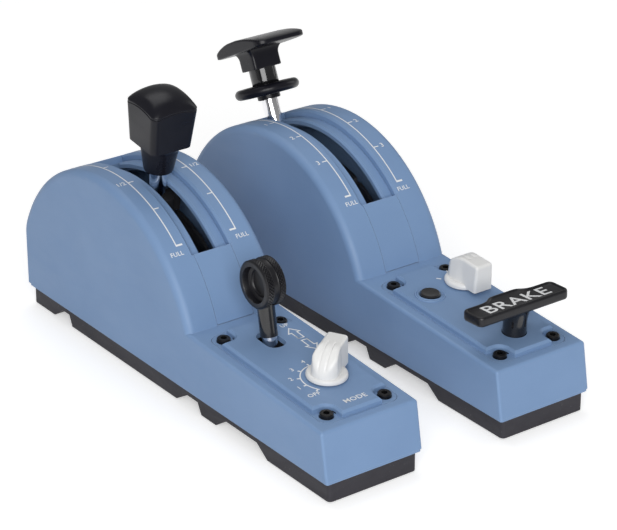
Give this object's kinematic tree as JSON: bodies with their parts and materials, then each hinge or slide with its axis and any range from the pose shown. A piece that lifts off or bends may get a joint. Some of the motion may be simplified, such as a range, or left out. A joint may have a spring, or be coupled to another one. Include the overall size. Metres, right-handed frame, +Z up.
{
  "type": "throttle quadrant",
  "caption": "Desktop throttle quadrant pair: a speed-brake module with selector and gear lever, and a flaps module with trim knob, reset button and park brake handle.",
  "frame": {"origin": "on the floor under the middle of the pair, midway between the two modules and halfway along their length", "axes": "+Z up, +Y from the low control panels towards the round domes (away from the user), +X from the speed-brake module to the flaps module"},
  "size_m": [0.1316, 0.2187, 0.119],
  "materials": {
    "case_blue": "matte",
    "bezel_blue": "satin",
    "base_grey": "matte",
    "rubber": "matte",
    "screw_black": "satin",
    "board_green": "satin",
    "bronze": "satin",
    "inner_steel": "satin",
    "spring_steel": "satin",
    "magnet": "polished",
    "inner_plastic": "matte",
    "chrome": "polished",
    "knob_black": "satin",
    "knob_white": "satin"
  },
  "bodies": {
    "stands": {"left_case": "case_blue", "left_dome_strip": "case_blue", "left_base": "base_grey", "left_rubber_feet": "rubber", "left_base_screws": "screw_black", "left_control_panel": "case_blue", "left_panel_screws": "screw_black", "left_circuit_board": "board_green", "left_axle_bushes": "bronze", "left_angle_sensor": "board_green", "left_gate_plate": "inner_steel", "right_case": "case_blue", "right_dome_strip": "case_blue", "right_base": "base_grey", "right_rubber_feet": "rubber", "right_base_screws": "screw_black", "right_control_panel": "case_blue", "right_panel_screws": "screw_black", "right_circuit_board": "board_green", "right_axle_bushes": "bronze", "right_angle_sensor": "board_green", "right_gate_plate": "inner_steel", "left_selector_switch": "inner_plastic", "left_gear_bracket": "inner_plastic", "left_gear_pin": "inner_steel", "left_gear_switches": "inner_plastic", "right_trim_sensor": "inner_plastic", "right_reset_bezel": "bezel_blue", "right_reset_spring": "spring_steel", "right_reset_switch": "inner_plastic", "right_park_brake_bush": "inner_plastic"},
    "speedbrake_lever": {"left_lever_axle": "inner_steel", "left_axle_magnet": "magnet", "left_lever_arm": "inner_plastic", "left_lever_tube": "chrome", "left_speedbrake_knob": "knob_black", "left_detent_block": "inner_plastic", "left_detent_plunger": "inner_steel"},
    "selector": {"left_selector_knob": "knob_white", "left_selector_shaft": "inner_steel"},
    "gear_lever": {"left_gear_wheel": "knob_black", "left_gear_stem": "knob_black", "left_gear_rod": "chrome"},
    "flaps_lever": {"right_lever_axle": "inner_steel", "right_axle_magnet": "magnet", "right_lever_arm": "inner_plastic", "right_lever_tube": "chrome", "right_flaps_handle": "knob_black"},
    "flaps_release": {"right_release_ring": "knob_black", "right_release_rod": "inner_steel", "right_release_spring": "spring_steel"},
    "trim": {"right_trim_knob": "knob_white", "right_trim_shaft": "inner_steel"},
    "reset": {"right_reset_button": "knob_black"},
    "park_brake": {"right_park_brake_handle": "knob_black", "right_park_brake_clip": "spring_steel"}
  },
  "joints": [
    {"name": "speedbrake_swing", "type": "hinge", "parent": "stands", "child": "speedbrake_lever", "pos_m": [-0.04275, 0.04805, 0.0115], "axis": [1, 0, 0], "range_deg": [-32.2, 32.2]},
    {"name": "selector_turn", "type": "hinge", "parent": "stands", "child": "selector", "pos_m": [-0.04145, -0.07559, 0.03403], "axis": [0, -0.0576, 0.9983], "range_deg": [-150, 0]},
    {"name": "gear_swing", "type": "hinge", "parent": "stands", "child": "gear_lever", "pos_m": [-0.04275, -0.04123, 0.02699], "axis": [1, 0, 0], "range_deg": [0, 24]},
    {"name": "flaps_swing", "type": "hinge", "parent": "stands", "child": "flaps_lever", "pos_m": [0.04165, 0.04695, 0.0115], "axis": [1, 0, 0], "range_deg": [0, 64.4]},
    {"name": "release_lift", "type": "slide", "parent": "flaps_lever", "child": "flaps_release", "axis": [0, 0.4099, 0.9121], "range_m": [0, 0.003], "stiffness_N_per_m": 600, "springref_m": -0.004, "deforming": ["right_release_spring"]},
    {"name": "trim_turn", "type": "hinge", "parent": "stands", "child": "trim", "pos_m": [0.05235, -0.04474, 0.03587], "axis": [0, -0.0576, 0.9983], "range_deg": [-40, 40], "stiffness_Nm_per_rad": 0.03},
    {"name": "reset_press", "type": "slide", "parent": "stands", "child": "reset", "axis": [0, 0.0576, -0.9983], "range_m": [0, 0.0015], "stiffness_N_per_m": 800, "springref_m": -0.001, "deforming": ["right_reset_spring"]},
    {"name": "park_brake_turn", "type": "hinge", "parent": "stands", "child": "park_brake", "pos_m": [0.04255, -0.08807, 0.03337], "axis": [0, -0.0576, 0.9983], "range_deg": [-90, 0]}
  ]
}
